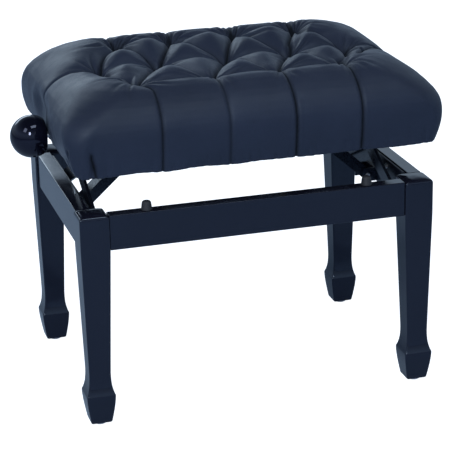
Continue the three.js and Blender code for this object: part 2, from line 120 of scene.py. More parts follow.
def bump(nt, b, src, strength, distance, prev=None):
    n = nt.nodes.new("ShaderNodeBump")
    n.inputs["Strength"].default_value = strength
    n.inputs["Distance"].default_value = distance
    nt.links.new(src, n.inputs["Height"])
    if prev is not None:
        nt.links.new(prev.outputs["Normal"], n.inputs["Normal"])
    nt.links.new(n.outputs["Normal"], b.inputs["Normal"])
    return n


def mat_lacquer():
    m, nt, b = new_mat("black_lacquer", roughness=0.1, ior=1.52, specular_tint=(0.62, 0.76, 1.0))
    n = tex(nt, "ShaderNodeTexNoise", 3.5, detail=3)
    c = ramp(nt, n.outputs["Fac"], [(0.3, (0.0062, 0.0066, 0.0135)), (0.7, (0.0082, 0.0088, 0.0170))])
    nt.links.new(c.outputs["Color"], b.inputs["Base Color"])
    # faint handling haze in the gloss
    h = tex(nt, "ShaderNodeTexNoise", 22, detail=5)
    r = ramp(nt, h.outputs["Fac"], [(0.35, 0.07), (0.75, 0.15)])
    nt.links.new(r.outputs["Color"], b.inputs["Roughness"])
    # slight waviness of a polished polyester coat
    w = tex(nt, "ShaderNodeTexNoise", 38, detail=2)
    bump(nt, b, w.outputs["Fac"], 0.05, 0.0006)
    return m


def mat_leather():
    m, nt, b = new_mat("navy_leather", ior=1.37, specular=0.5, specular_tint=(0.72, 0.86, 1.0), sheen_weight=0.06, sheen_roughness=0.4, sheen_tint=(0.6, 0.75, 1.0))
    n = tex(nt, "ShaderNodeTexNoise", 9, detail=5)
    c = ramp(nt, n.outputs["Fac"], [(0.28, (0.0168, 0.0220, 0.0425)), (0.55, (0.0200, 0.0260, 0.0500)), (0.78, (0.0236, 0.0303, 0.0570))])
    g = tex(nt, "ShaderNodeTexVoronoi", 640, feature="DISTANCE_TO_EDGE")
    dark = ramp(nt, g.outputs["Distance"], [(0.0, 0.70), (0.10, 1.0)])
    mix = nt.nodes.new("ShaderNodeMix")
    mix.data_type, mix.blend_type = "RGBA", "MULTIPLY"
    mix.inputs["Factor"].default_value = 1.0
    nt.links.new(c.outputs["Color"], mix.inputs["A"])
    nt.links.new(dark.outputs["Color"], mix.inputs["B"])
    # painted shade: this point attribute mixes the leather colour towards near black in the creases, seams, tuft pits
    # and wrinkles, where shade falls, and raises the roughness there
    fold_and_shade = nt.nodes.new("ShaderNodeAttribute")
    fold_and_shade.attribute_name = "fold_and_shade"
    shade = nt.nodes.new("ShaderNodeMix")
    shade.data_type, shade.blend_type = "RGBA", "MIX"
    shade.inputs["B"].default_value = (0.0016, 0.0024, 0.0052, 1)
    nt.links.new(fold_and_shade.outputs["Fac"], shade.inputs["Factor"])
    nt.links.new(mix.outputs["Result"], shade.inputs["A"])
    nt.links.new(shade.outputs["Result"], b.inputs["Base Color"])
    rn = tex(nt, "ShaderNodeTexNoise", 30, detail=6)
    r = ramp(nt, rn.outputs["Fac"], [(0.3, 0.38), (0.7, 0.54)])
    dull = nt.nodes.new("ShaderNodeMath")
    dull.operation, dull.use_clamp = "MULTIPLY_ADD", True
    dull.inputs[1].default_value = 0.5
    nt.links.new(fold_and_shade.outputs["Fac"], dull.inputs[0])
    nt.links.new(r.outputs["Color"], dull.inputs[2])
    nt.links.new(dull.outputs["Value"], b.inputs["Roughness"])
    # hide grain, pores, then soft unevenness
    grain = ramp(nt, g.outputs["Distance"], [(0.0, 0.0), (0.12, 0.8), (0.5, 1.0)])
    b1 = bump(nt, b, grain.outputs["Color"], 0.42, 0.00022)
    fine = tex(nt, "ShaderNodeTexNoise", 2300, detail=2)
    b2 = bump(nt, b, fine.outputs["Fac"], 0.18, 0.0001, b1)
    soft = tex(nt, "ShaderNodeTexNoise", 46, detail=4)
    bump(nt, b, soft.outputs["Fac"], 0.30, 0.0016, b2)
    return m


def mat_simple(name, colour, rough, metallic=0.0, scale=60, spread=0.25, bump_d=0.0002, bump_s=0.2, stretch=None, **kw):
    m, nt, b = new_mat(name, metallic=metallic, **kw)
    n = tex(nt, "ShaderNodeTexNoise", scale, detail=5)
    if stretch:
        mp = nt.nodes.new("ShaderNodeMapping")
        mp.inputs["Scale"].default_value = stretch
        nt.links.new(nt.nodes["coords"].outputs["Object"], mp.inputs["Vector"])
        nt.links.new(mp.outputs["Vector"], n.inputs["Vector"])
    lo = tuple(x * (1 - spread) for x in colour)
    hi = tuple(min(1, x * (1 + spread)) for x in colour)
    c = ramp(nt, n.outputs["Fac"], [(0.3, lo), (0.7, hi)])
    nt.links.new(c.outputs["Color"], b.inputs["Base Color"])
    r = ramp(nt, n.outputs["Fac"], [(0.3, rough * 0.8), (0.7, min(1, rough * 1.25))])
    nt.links.new(r.outputs["Color"], b.inputs["Roughness"])
    bump(nt, b, n.outputs["Fac"], bump_s, bump_d)
    return m


def mat_wood(name, light, dark, along=(1, 12, 12), scale=7):
    m, nt, b = new_mat(name, roughness=0.62)
    tc = nt.nodes.new("ShaderNodeTexCoord")
    mp = nt.nodes.new("ShaderNodeMapping")
    mp.inputs["Scale"].default_value = along
    nt.links.new(tc.outputs["Object"], mp.inputs["Vector"])
    n = nt.nodes.new("ShaderNodeTexNoise")
    n.inputs["Scale"].default_value = scale
    n.inputs["Detail"].default_value = 8
    n.inputs["Distortion"].default_value = 0.6
    nt.links.new(mp.outputs["Vector"], n.inputs["Vector"])
    c = ramp(nt, n.outputs["Fac"], [(0.3, dark), (0.5, light), (0.62, tuple(0.8 * a + 0.2 * q for a, q in zip(light, dark))), (0.75, light)])
    nt.links.new(c.outputs["Color"], b.inputs["Base Color"])
    bump(nt, b, n.outputs["Fac"], 0.35, 0.0004)
    return m


M = {
    "lacquer": mat_lacquer(),
    "leather": mat_leather(),
    "knob": mat_simple("black_gloss_plastic", (0.0035, 0.0038, 0.0095), 0.035, scale=18, spread=0.2, bump_d=0.00005, bump_s=0.02, ior=1.45, specular_tint=(0.66, 0.72, 1.0)),
    "rubber": mat_simple("black_rubber", (0.017, 0.018, 0.024), 0.62, scale=240, bump_d=0.0002, bump_s=0.4),
    "glide": mat_simple("grey_nylon", (0.34, 0.37, 0.47), 0.42, scale=120, spread=0.12, bump_d=0.0002),
    "black_steel": mat_simple("black_painted_steel", (0.0065, 0.0080, 0.0150), 0.30, scale=420, spread=0.3, bump_d=0.0001, bump_s=0.3, ior=1.42, specular_tint=(0.62, 0.78, 1.0)),
    "zinc": mat_simple("zinc_plate", (0.66, 0.68, 0.72), 0.30, 1.0, scale=90, spread=0.14, bump_d=0.0001, bump_s=0.25),
    "brass": mat_simple("turned_brass", (0.62, 0.45, 0.18), 0.28, 1.0, scale=140, spread=0.12, bump_d=0.0001),
    "plywood": mat_wood("black_stained_plywood", (0.022, 0.019, 0.018), (0.010, 0.009, 0.009), along=(1, 9, 30)),
    "batten": mat_wood("black_stained_pine", (0.019, 0.017, 0.017), (0.009, 0.008, 0.009), along=(1, 14, 14)),
}


# ------------------------------------------------------------------ mesh helpers
def link(name, verts, faces, slot, smooth=True, angle=None):
    me = bpy.data.meshes.new(name)
    me.from_pydata([tuple(v) for v in verts], [], [tuple(int(i) for i in f) for f in faces])
    me.update()
    o = bpy.data.objects.new(name, me)
    scene.collection.objects.link(o)
    if smooth:
        me.polygons.foreach_set("use_smooth", [True] * len(me.polygons))
        if angle:
            me.set_sharp_from_angle(angle=math.radians(angle))
    me.materials.append(M[slot])
    return o


def at(x, y, z):
    """A point given in mm from the middle of the leg frame."""
    return np.array([XC + x * MM, y * MM, z * MM])


def profile_round(profile, r=0.35, steps=3):
    """The same [radius, height] profile with its corners rounded by up to r mm."""
    p = [np.array(q, float) for q in profile]
    out = [p[0]]
    for i in range(1, len(p) - 1):
        a, b, c = p[i - 1], p[i], p[i + 1]
        u, v = a - b, c - b
        lu, lv = np.linalg.norm(u), np.linalg.norm(v)
        if lu < 1e-6 or lv < 1e-6:
            continue
        turn = abs(math.pi - math.acos(float(np.clip(u @ v / lu / lv, -1, 1))))
        if turn < 0.5:
            out.append(b)
            continue
        k = min(r, 0.4 * lu, 0.4 * lv)
        s, e = b + u / lu * k, b + v / lv * k
        for j in range(steps + 1):
            t = j / steps
            out.append((1 - t) ** 2 * s + 2 * t * (1 - t) * b + t * t * e)
    out.append(p[-1])
    return out


def lathe(name, profile, origin, axis, slot, body, nodes=(), segments=48, r=0.35, closed_ring=False):
    """Turned piece: profile [radius, height] in mm, height along axis from origin (mm from the frame's middle)."""
    axis = np.array(axis, float)
    side = np.array([0, 0, 1.0]) if abs(axis[2]) < 0.5 else np.array([1.0, 0, 0])
    e1 = np.cross(axis, side)
    e1 /= np.linalg.norm(e1)
    e2 = np.cross(axis, e1)
    pts = profile_round(profile, r)
    if closed_ring:
        pts = pts[:-1]
    verts, rings = [], []
    o = at(*origin)
    for rad, h in pts:
        if rad < 1e-6:
            rings.append([len(verts)])
            verts.append(o + axis * h * MM)
        else:
            ring = []
            for k in range(segments):
                a = 2 * math.pi * k / segments
                ring.append(len(verts))
                verts.append(o + (axis * h + (e1 * math.cos(a) + e2 * math.sin(a)) * rad) * MM)
            rings.append(ring)
    faces = []
    pairs = list(zip(rings, rings[1:] + ([rings[0]] if closed_ring else [])))
    if not closed_ring:
        pairs = list(zip(rings[:-1], rings[1:]))
    for a, b in pairs:
        for k in range(segments):
            k2 = (k + 1) % segments
            if len(a) == 1 and len(b) == 1:
                continue
            if len(a) == 1:
                faces.append((a[0], b[k2], b[k]))
            elif len(b) == 1:
                faces.append((a[k], a[k2], b[0]))
            else:
                faces.append((a[k], a[k2], b[k2], b[k]))
    ob = link(name, verts, faces, slot, angle=50)
    fix_normals(ob)
    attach(ob, body)
    if nodes:
        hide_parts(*nodes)
    return ob


def fix_normals(o):
    bm = bmesh.new()
    bm.from_mesh(o.data)
    bmesh.ops.recalc_face_normals(bm, faces=bm.faces)
    if bm.calc_volume() < 0:
        bmesh.ops.reverse_faces(bm, faces=bm.faces)
    bm.to_mesh(o.data)
    bm.free()


def box_piece(name, lo, hi, slot, body, nodes, bevel=1.2, segments=4):
    bm = bmesh.new()
    bmesh.ops.create_cube(bm, size=1)
    lo, hi = Vector(lo), Vector(hi)
    for v in bm.verts:
        v.co = Vector([(lo[i] + hi[i]) / 2 + v.co[i] * (hi[i] - lo[i]) for i in range(3)])
    bmesh.ops.bevel(bm, geom=bm.edges[:], offset=bevel * MM, segments=segments, profile=0.6, affect="EDGES")
    me = bpy.data.meshes.new(name)
    bm.to_mesh(me)
    bm.free()
    o = bpy.data.objects.new(name, me)
    scene.collection.objects.link(o)
    me.polygons.foreach_set("use_smooth", [True] * len(me.polygons))
    w = o.modifiers.new("normals", "WEIGHTED_NORMAL")
    w.keep_sharp = True
    me.materials.append(M[slot])
    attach(o, body)
    if nodes:
        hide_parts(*nodes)
    return o


# ------------------------------------------------------------------ legs
def interp(table, z):
    zs = [t[0] for t in table]
    return float(np.interp(z, zs, [t[1] for t in table]))


LEG = [
    (5.0, 15.4), (5.5, 16.1), (6.4, 16.7), (10, 17.4), (16, 18.5), (22, 19.5), (28, 20.45), (34, 21.3), (40, 22.0), (45, 22.45),
    (49, 22.68), (51.2, 22.72), (52.4, 22.55), (53.4, 22.15), (54.6, 21.65), (57, 20.75), (60, 19.85), (64, 18.9), (69, 18.0), (75, 17.45), (81, 17.12), (88, 17.04),
    (100, 17.36), (150, 18.85), (200, 20.35), (250, 21.85), (280, 22.75), (287, 22.94), (294, 23.0), (320, 23.0), (337.6, 23.0),
    (339.6, 22.85), (341.2, 22.4), (342.5, 21.5), (343.6, 20.1), (344.5, 18.2), (345.3, 15.4), (345.9, 11.8), (346.3, 7.5), (346.55, 3),
]


def leg_shift(z):
    if z >= 288:
        return 0.0
    if z >= 86:
        return 1.4 * (288 - z) / 202
    return 1.4 + 0.4 * min(1, (86 - z) / 34.5)


def make_leg(name, sx, sy):
    cx0, cy0 = sx * (282.5 - 23), sy * (199.6 - 23)
    per = 6
    verts, rings = [], []
    for z, h in LEG:
        s = leg_shift(z)
        cx, cy = cx0 + sx * s, cy0 + sy * s
        r = min(2.3, h * 0.5)
        if z > 342:
            r = min(h, 2.3 + (z - 342) * 1.6)
        ring = []
        for c in range(4):
            qx, qy = [(1, 1), (-1, 1), (-1, -1), (1, -1)][c]
            for j in range(per + 1):
                a = (c + j / per) * math.pi / 2
                ring.append(len(verts))
                verts.append(at(cx + qx * (h - r) + r * math.cos(a), cy + qy * (h - r) + r * math.sin(a), z))
            # two points along the flat keep the shading true
            nx, ny = [(-1, 1), (-1, -1), (1, -1), (1, 1)][c]
            b = (c + 1) * math.pi / 2
            for t in (0.08, 0.92):
                ring.append(len(verts))
                x0, y0 = qx * (h - r) + r * math.cos(b), qy * (h - r) + r * math.sin(b)
                x1, y1 = nx * (h - r) + r * math.cos(b), ny * (h - r) + r * math.sin(b)
                verts.append(at(cx + x0 * (1 - t) + x1 * t, cy + y0 * (1 - t) + y1 * t, z))
        rings.append(ring)
    faces = []
    n = len(rings[0])
    for a, b in zip(rings[:-1], rings[1:]):
        for k in range(n):
            faces.append((a[k], a[(k + 1) % n], b[(k + 1) % n], b[k]))
    for ring, z in ((rings[0], LEG[0][0]), (rings[-1], LEG[-1][0] + 0.05)):
        c = len(verts)
        s = leg_shift(z)
        verts.append(at(cx0 + sx * s, cy0 + sy * s, z))
        for k in range(n):
            q = (ring[k], ring[(k + 1) % n], c)
            faces.append(q if ring is rings[-1] else q[::-1])
    o = link(f"wood_leg_{name}", verts, faces, "lacquer", angle=40)
    fix_normals(o)
    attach(o, "base")
    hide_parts(f"leg_{name}")
    w = o.modifiers.new("normals", "WEIGHTED_NORMAL")
    w.keep_sharp = True
    # glide under the foot
    s = leg_shift(5)
    gx, gy = cx0 + sx * s, cy0 + sy * s
    lathe(f"foot_glide_{name}", [[0, 0], [8.2, 0], [10.2, 0.9], [11, 2.4], [11, 4.7], [3, 4.7], [0, 4.7]], (gx, gy, 0), (0, 0, 1), "glide", "base", [f"glide_{name}"], r=0.6)


for nm, sx, sy in (("front_left", -1, -1), ("front_right", 1, -1), ("back_left", -1, 1), ("back_right", 1, 1)):
    make_leg(nm, sx, sy)

for nm in ("front", "back", "left", "right"):
    lo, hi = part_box(f"rail_{nm}")
    box_piece(f"wood_rail_{nm}", lo, hi, "lacquer", "base", [f"rail_{nm}"], bevel=1.3)

for q in ("front_left", "front_right", "back_left", "back_right"):
    lo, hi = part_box(f"bumper_{q}")
    c = (lo + hi) / 2
    lathe(f"rubber_bumper_{q}", [[0, 0], [8.8, 0], [8.8, 1.6], [8.2, 3.2], [7.3, 10.4], [6.6, 12.6], [5.0, 14], [2.2, 14], [1.6, 13], [0, 12.8]],
          ((c.x - XC) / MM, c.y / MM, lo.z / MM), (0, 0, 1), "rubber", "base", [f"bumper_{q}"], r=1.0)

# ------------------------------------------------------------------ turned steel pieces
SZ = 420


def thread(name, x0, x1, hand, body, slot="zinc", pitch=4.0, r_out=6.0, depth=1.3):
    """Cylinder with a real trapezoidal thread between x0 and x1 (mm)."""
    seg, step = 36, pitch / 8
    n = int(round((x1 - x0) / step))
    verts, rings = [], []
    for i in range(n + 1):
        x = x0 + (x1 - x0) * i / n
        ring = []
        for k in range(seg):
            a = 2 * math.pi * k / seg
            ph = ((x / pitch) - hand * a / (2 * math.pi)) % 1.0
            t = abs(ph - 0.5) * 2  # 0..1..0
            w = min(1.0, max(0.0, (t - 0.3) / 0.4))
            fade = min(1.0, min(x - x0, x1 - x) / 3.0)
            r = r_out - depth * (1 - w) * max(0.0, fade) - 0.15
            ring.append(len(verts))
            verts.append(at(x, r * math.cos(a), SZ + r * math.sin(a)))
        rings.append(ring)
    faces = []
    for a, b in zip(rings[:-1], rings[1:]):
        for k in range(seg):
            faces.append((a[k], b[k], b[(k + 1) % seg], a[(k + 1) % seg]))
    faces.append(tuple(rings[0][::-1]))
    faces.append(tuple(rings[-1]))
    o = link(name, verts, faces, slot, angle=60)
    fix_normals(o)
    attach(o, body)
    return o


thread("spindle_thread_left", -199, -14.3, -1, "spindle_shaft")
thread("spindle_thread_right", 14.3, 199, 1, "spindle_shaft")
lathe("spindle_rod", [[0, -302.5], [4.2, -302.5], [5, -301.7], [5, -203.2], [5.9, -202], [5.9, -199.3], [4.2, -199.2], [4.2, -14.5], [5.9, -14], [5.9, 14], [4.2, 14.5], [4.2, 199.2], [5.9, 199.3], [5.9, 202], [5, 203.2], [5, 252.6], [4.2, 253.4], [0, 253.4]],
      (0, 0, SZ), (1, 0, 0), "zinc", "spindle_shaft", ["spindle"], r=0.3)

KR, KF, KC = 33.65, -291.7, -312.8
kp = [[0, 12], [5.3, 12], [5.3, 0.4], [5.9, 0], [12.2, 0], [12.6, -0.0], [24.4, 0]]
c0 = KF - KC
a0 = math.acos(c0 / KR)
for i in range(41):
    a = a0 + 0.05 + (math.pi - a0 - 0.05) * i / 40
    kp.append([max(0.0, KR * math.sin(a)), c0 - KR * math.cos(a)])
kp[-1][0] = 0
lathe("ball_knob", kp, (KF, 0, SZ), (-1, 0, 0), "knob", "spindle_shaft", ["knob"], segments=96, r=1.2)

for nm, s in (("left", -1), ("right", 1)):
    flat = 274 - 20 - 0.3 - 3
    lathe(f"bronze_bush_{nm}", [[5.3, 0], [11, 0], [11, 2], [8, 2], [8, 5], [5.3, 5], [5.3, 0]], (s * (flat - 2.3), 0, SZ), (s, 0, 0), "brass", "seat", [f"spindle_bush_{nm}"], closed_ring=True)
    lathe(f"stop_collar_{nm}", [[5.3, 0], [10.2, 0], [11, 0.8], [11, 8.2], [10.2, 9], [5.3, 9], [5.3, 0]], (s * (flat - 2.9), 0, SZ), (-s, 0, 0), "zinc", "spindle_shaft", [f"spindle_collar_{nm}"], closed_ring=True)
    lathe(f"clevis_pin_{nm}", [[0, -21.6], [3.2, -21.6], [4, -20.8], [4, 20], [6.5, 20], [6.5, 22.4], [0, 22.4]], (s * 240, 0, 301), (0, 1, 0), "zinc", "base", [f"strut_pin_{nm}"])
    for row, y in (("front", -70), ("back", 70)):
        face = 257.5 - 0.3 - 3 - 0.3
        lathe(f"bracket_screw_{nm}_{row}", [[0, 0], [2, 1.2], [2, 14.5], [4.6, 14.5], [4.6, 16], [3.4, 17.3], [1.6, 17.5], [1.3, 16.4], [0, 16.2]],
              (s * (face + 14.5), y, 331), (-s, 0, 0), "zinc", "base", [f"rail_screw_{nm}_{row}"], segments=32)
        lathe(f"seat_screw_{nm}_{row}", [[0, -1.7], [1.3, -1.9], [1.6, -3.0], [3.4, -2.8], [4.6, -1.5], [4.6, 0], [2, 0], [2, 10], [0, 11.2]],
              (s * (253.7 - 18), y, 439.8 - 0.3 - 3 - 0.3), (0, 0, 1), "zinc", "seat", [f"board_screw_{nm}_{row}"], segments=32)
    t = 244.5 + 5 - 238.9
    cy = -130 + 135 * math.cos(math.asin(110 / 270))
    lathe(f"cross_rivet_{nm}", [[0, -2.4], [3.5, -2.3], [5.6, -1.6], [6.5, -0.6], [6.5, 0], [4, 0], [4, t + 0.6], [7.4, t + 0.6], [7.4, t + 1.3], [0, t + 1.4]],
          (s * (238.9 - 0.3), cy, 360), (s, 0, 0), "zinc", "scissor_a", [f"scissor_rivet_{nm}"])
    ry = -130 + 270 * math.cos(math.asin(110 / 270))
    reach = 257.2 - 0.8
    lathe(f"slide_pin_{nm}", [[0, -2.6], [6.6, -2.6], [7.6, -1.8], [7.6, 0], [5, 0], [5, reach - 244.5 + 0.3], [0, reach - 244.5 + 0.3]],
          (s * (244.5 - 0.3), ry, 305), (s, 0, 0), "zinc", "scissor_b", [f"scissor_slide_pin_{nm}"])

ry = -130 + 270 * math.cos(math.asin(110 / 270))
for nm, y, z, reach, body in (
    ("a_front", -130, 305, 256.4, "scissor_a"),
    ("a_rear", ry, 415, 253.4, "scissor_a"),
    ("b_front", -130, 415, 253.4, "scissor_b"),
):
    lathe(f"cross_shaft_{nm}", [[0, -reach], [4.4, -reach], [5, -reach + 0.6], [5, reach - 0.6], [4.4, reach], [0, reach]], (0, y, z), (1, 0, 0), "zinc", body, [f"scissor_shaft_{nm}"], r=0.2)


# ------------------------------------------------------------------ CAD plates and bars that stay
def keep(node, slot, bevel=0.5, angle=35):
    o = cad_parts[node]
    for i in range(len(o.data.materials)):
        o.data.materials[i] = M[slot]
    if not len(o.data.materials):
        o.data.materials.append(M[slot])
    w = o.modifiers.new("weld", "WELD")
    w.merge_threshold = 0.00002
    b = o.modifiers.new("edge", "BEVEL")
    b.width = bevel * MM
    b.segments = 2
    b.limit_method = "ANGLE"
    b.angle_limit = math.radians(angle)
    b.use_clamp_overlap = True


for s in ("left", "right"):
    for n in ("base_bracket", "strut_clevis", "scissor_arm_a", "scissor_arm_b", "strut", "seat_bracket"):
        keep(f"{n}_{s}", "black_steel", 0.45)
    keep(f"nut_{s}", "brass", 0.5, 40)
for s in ("front", "back", "left", "right"):
    keep(f"seat_batten_{s}", "batten", 1.2)
keep("seat_board", "plywood", 0.8)

# ------------------------------------------------------------------ cushion
rng = np.random.default_rng(7)
HX, HY = 299.5, 213.0  # widest half sizes, mm
# outer profile from the lower edge up and over: inset from the widest outline (side, front), height
PROFILE = [
    # inset x, inset y, z
    (17.0, 7.0, 408.6), (15.4, 6.2, 412.5), (12.6, 5.0, 420), (8.8, 3.2, 430), (5.4, 1.8, 440), (2.6, 0.8, 450), (0.8, 0.2, 459), (0.3, 0.0, 467), (1.6, 0.8, 476),
    (5.4, 3.6, 486), (13.0, 10.4, 497), (22.0, 19.0, 506.0), (33.5, 30.5, 514.8), (51.0, 48.0, 525.0), (68.0, 65.0, 532.2), (85.0, 83.0, 537.0), (105.0, 103.0, 539.8), (129.0, 128.0, 541.2),
    (150.0, 150.0, 541.6), (213.0, 213.0, 541.8),
]
P3 = np.array(PROFILE)
ARC = np.concatenate([[0], np.cumsum(np.hypot(np.diff((P3[:, 0] + P3[:, 1]) / 2), np.diff(P3[:, 2])))])
EXTRA = ARC[-1] - 213.0
PA, PB = HX + EXTRA, HY + EXTRA  # half sizes of the unwrapped cover


def smooth_interp(m, col):
    """Monotone-ish smooth reading of the profile."""
    return np.interp(m, FINE_M, FINE[:, col])


# resample the profile finely and smooth it
FINE_M = np.linspace(0, ARC[-1], 1200)
FINE = np.stack([np.interp(FINE_M, ARC, P3[:, k]) for k in range(3)], 1)
for _ in range(60):
    FINE[1:-1] = 0.25 * FINE[:-2] + 0.5 * FINE[1:-1] + 0.25 * FINE[2:]


def corner_radius(m):
    return np.interp(m, [0, 30, 60, 100, 150, 250, ARC[-1]], [11, 20, 36, 54, 62, 40, 0.5])


def cover_point(U, V):
    """Unwrapped cover coordinates (mm) to the smooth outer shape, mm from the frame's middle."""
    U, V = np.asarray(U, float), np.asarray(V, float)
    mx, my = PA - np.abs(U), PB - np.abs(V)
    m = np.minimum(mx, my)
    ix, iy, z = (smooth_interp(m, k) for k in range(3))
    a, b = HX - ix, HY - iy
    r = corner_radius(m)
    r = np.minimum(r, 0.92 * np.minimum(a, np.maximum(b, 0.01)))
    side = mx <= my  # on a left or right face
    tau = np.where(side, np.abs(V) / np.maximum(PB - m, 1e-6), np.abs(U) / np.maximum(PA - m, 1e-6))
    tau = np.clip(tau, 0, 1)
    straight = np.where(side, b - r, a - r)
    total = straight + r * math.pi / 4
    l = tau * total
    ang = np.clip((l - straight) / np.maximum(r, 1e-6), 0, math.pi / 4)
    on = l <= straight
    long_ = np.where(on, l, straight + r * np.sin(ang))
    across = np.where(side, a, b) - np.where(on, 0, r * (1 - np.cos(ang)))
    x = np.where(side, across, long_) * np.sign(U + 1e-12)
    y = np.where(side, long_, across) * np.sign(V + 1e-12)
    return np.stack([x, y, z], -1)


STEP = 2.2
nu, nv = int(round(2 * PA / STEP)), int(round(2 * PB / STEP))
gu, gv = np.linspace(-PA, PA, nu + 1), np.linspace(-PB, PB, nv + 1)
GU, GV = np.meshgrid(gu, gv, indexing="ij")
base = cover_point(GU, GV)


def grid_normals(p):
    du = np.gradient(p, axis=0)
    dv = np.gradient(p, axis=1)
    n = np.cross(du, dv)
    return n / np.maximum(np.linalg.norm(n, axis=-1, keepdims=True), 1e-9)


NRM = grid_normals(base)
for side in (NRM, NRM.transpose(1, 0, 2)):
    side[0] = side[1]
    side[-1] = side[-2]

# tufts: x, y in plan
TUFTS = [(-172, -124), (-50, -124), (54, -122), (162, -122),
         (-207, 0), (-106, 0), (5, 0), (111, 0), (212, 0),
         (-150, 113), (-56, 109), (50, 115), (155, 114)]
PIT = [7.0, 6.5, 6.0, 6.0, 7, 7, 7, 7, 7, 13, 14, 12, 13]


def nearest_cover(x, y):
    """The cover coordinates whose plan position is x, y on the upper surface."""
    d = (base[..., 0] - x) ** 2 + (base[..., 1] - y) ** 2 + np.where(base[..., 2] < 485, 1e6, 0)
    i, j = np.unravel_index(np.argmin(d), d.shape)
    return gu[i], gv[j]


TU = [nearest_cover(*t) for t in TUFTS]


def line(p, q, n, depth, wide, kind):
    """A seam in cover coordinates: samples (point, depth, width, crease)."""
    out = []
    for k in range(n + 1):
        t = k / n
        u, v = p[0] + (q[0] - p[0]) * t, p[1] + (q[1] - p[1]) * t
        out.append((u, v, depth(t), wide(t), kind))
    return out


seams = []


def diag(i, j, mid=21.5, end=5.0, wide=40.0, crease=1.0):
    p, q = TU[i], TU[j]
    n = int(math.hypot(p[0] - q[0], p[1] - q[1]) / 0.8)
    seams.append(line(p, q, n, lambda t: mid + end * (abs(2 * t - 1)) ** 2.2, lambda t: wide, crease))


for a, b in ((0, 4), (0, 5), (1, 5), (1, 6), (2, 6), (2, 7), (3, 7), (3, 8), (9, 4), (9, 5), (10, 5), (10, 6), (11, 6), (11, 7), (12, 7), (12, 8)):
    # the seams that run back and to the right are pulled tighter than the others
    tight = (a, b) in ((0, 5), (1, 6), (2, 7), (3, 8), (9, 4), (10, 5), (11, 6), (12, 7))
    diag(a, b, crease=1.3 if tight else 0.7)


# soft valleys between neighbours in a row
for a, b in ((0, 1), (1, 2), (2, 3), (4, 5), (5, 6), (6, 7), (7, 8), (9, 10), (10, 11), (11, 12)):
    diag(a, b, 19.0 if a > 8 else 16.0, 8.0, 37.0, 0.0)


def along(m, h, face):
    """Straight and total run of a face at the depth m in from the lower edge."""
    ix, iy = smooth_interp(m, 0), smooth_interp(m, 1)
    a, b = HX - ix, HY - iy
    r = min(corner_radius(m), 0.92 * min(a, max(b, 0.01)))
    return (b if face == "side" else a) - r + r * math.pi / 4


def pleat(i, pos, face, sign, top=7.0, mid=3.0, foot=1.6, reach=34.0, join=0.0, crease=1.0):
    """A pleat that comes out of tuft i and runs straight down a face at x (or y) = pos."""
    u0, v0 = TU[i]
    start = (PB - abs(v0)) if face == "front" else (PA - abs(u0))
    n = int(start / 0.8)
    pts = []
    for k in range(n + 1):
        m = start * (1 - k / n)
        s = start - m
        full = along(m, None, face)
        if face == "front":
            q = pos * (PA - m) / full
            w = min(1.0, s / max(join, 1.0))
            w = w * w * (3 - 2 * w)
            u, v = u0 * (1 - w) + q * w, sign * (PB - m)
        else:
            q = pos * (PB - m) / full
            w = min(1.0, s / max(join, 1.0))
            w = w * w * (3 - 2 * w)
            u, v = sign * (PA - m), v0 * (1 - w) + q * w
        depth = foot + (mid - foot) * max(0, 1 - s / start) + (top - mid) * math.exp(-((s / 34) ** 2)) + 8 * math.exp(-s / 12)
        pts.append((u, v, depth, 17 + (reach - 17) * math.exp(-s / 42), crease))
    seams.append(pts)


for i, x, c in ((0, -153, 0.72), (1, -48, 0.5), (2, 56, 1.0), (3, 161, 0.95)):
    pleat(i, x, "front", -1, top=12.0, mid=3.0, reach=34, join=44.0, crease=c)
for i, x in ((9, -155), (10, -54), (11, 51), (12, 157)):
    pleat(i, x, "front", 1, top=10.0, mid=2.4, reach=34, join=30.0)
pleat(4, -2, "side", -1, top=16, mid=9, foot=5, reach=44)
pleat(8, 4, "side", 1, top=14, mid=5, foot=2.5, reach=40)
# the fold that leaves the front right tuft for the middle of the right side
pu, pv = nearest_cover(276, 6)
n = 120
fold_and_shade = []
for k in range(n + 1):
    t = k / n
    fold_and_shade.append((TU[3][0] + (pu - TU[3][0]) * t, TU[3][1] + (pv - TU[3][1]) * t + 15 * math.sin(math.pi * t), 12 * (1 - t) ** 0.7 + 5, 30, 1.0))
seams.append(fold_and_shade)

def crease(points, depth=3.0, wide=13.0, face="front", sign=-1):
    """A short fold low on a face, through (x or y, z) points."""
    zs = FINE[:, 2]
    pts = []
    for (a0, z0), (a1, z1) in zip(points, points[1:]):
        n = max(2, int(math.hypot(a1 - a0, z1 - z0) / 0.8))
        for k in range(n):
            t = k / n
            m = float(np.interp(z0 + (z1 - z0) * t, zs[:500], FINE_M[:500]))
            pos = a0 + (a1 - a0) * t
            if face == "front":
                pts.append((pos * (PA - m) / along(m, None, "front"), sign * (PB - m)))
            else:
                pts.append((sign * (PA - m), pos * (PB - m) / along(m, None, "side")))
    total = len(pts)
    seams.append([(u, v, depth * math.sin(math.pi * (0.12 + 0.88 * k / total) ** 0.8) if k < total else 0, wide, min(1.0, 6 * k / total, 1.0)) for k, (u, v) in enumerate(pts)])


for sx, sy in ((1, -1), (-1, 1)):
    # seen from the other side the same corner repeats at the back right
    crease([(sx * -262, 448), (sx * -261, 436), (sx * -257, 420), (sx * -255, 407)], 5.0, 15.0, "front", sy)
crease([(-196, 452), (-190, 436), (-192, 420), (-196, 407)], 4.5, 13.0, "side", -1)
crease([(-170, 430), (-166, 420), (-167, 407)], 2.5, 10.0, "side", -1)
crease([(192, 448), (188, 432), (191, 407)], 4.0, 13.0, "side", 1)

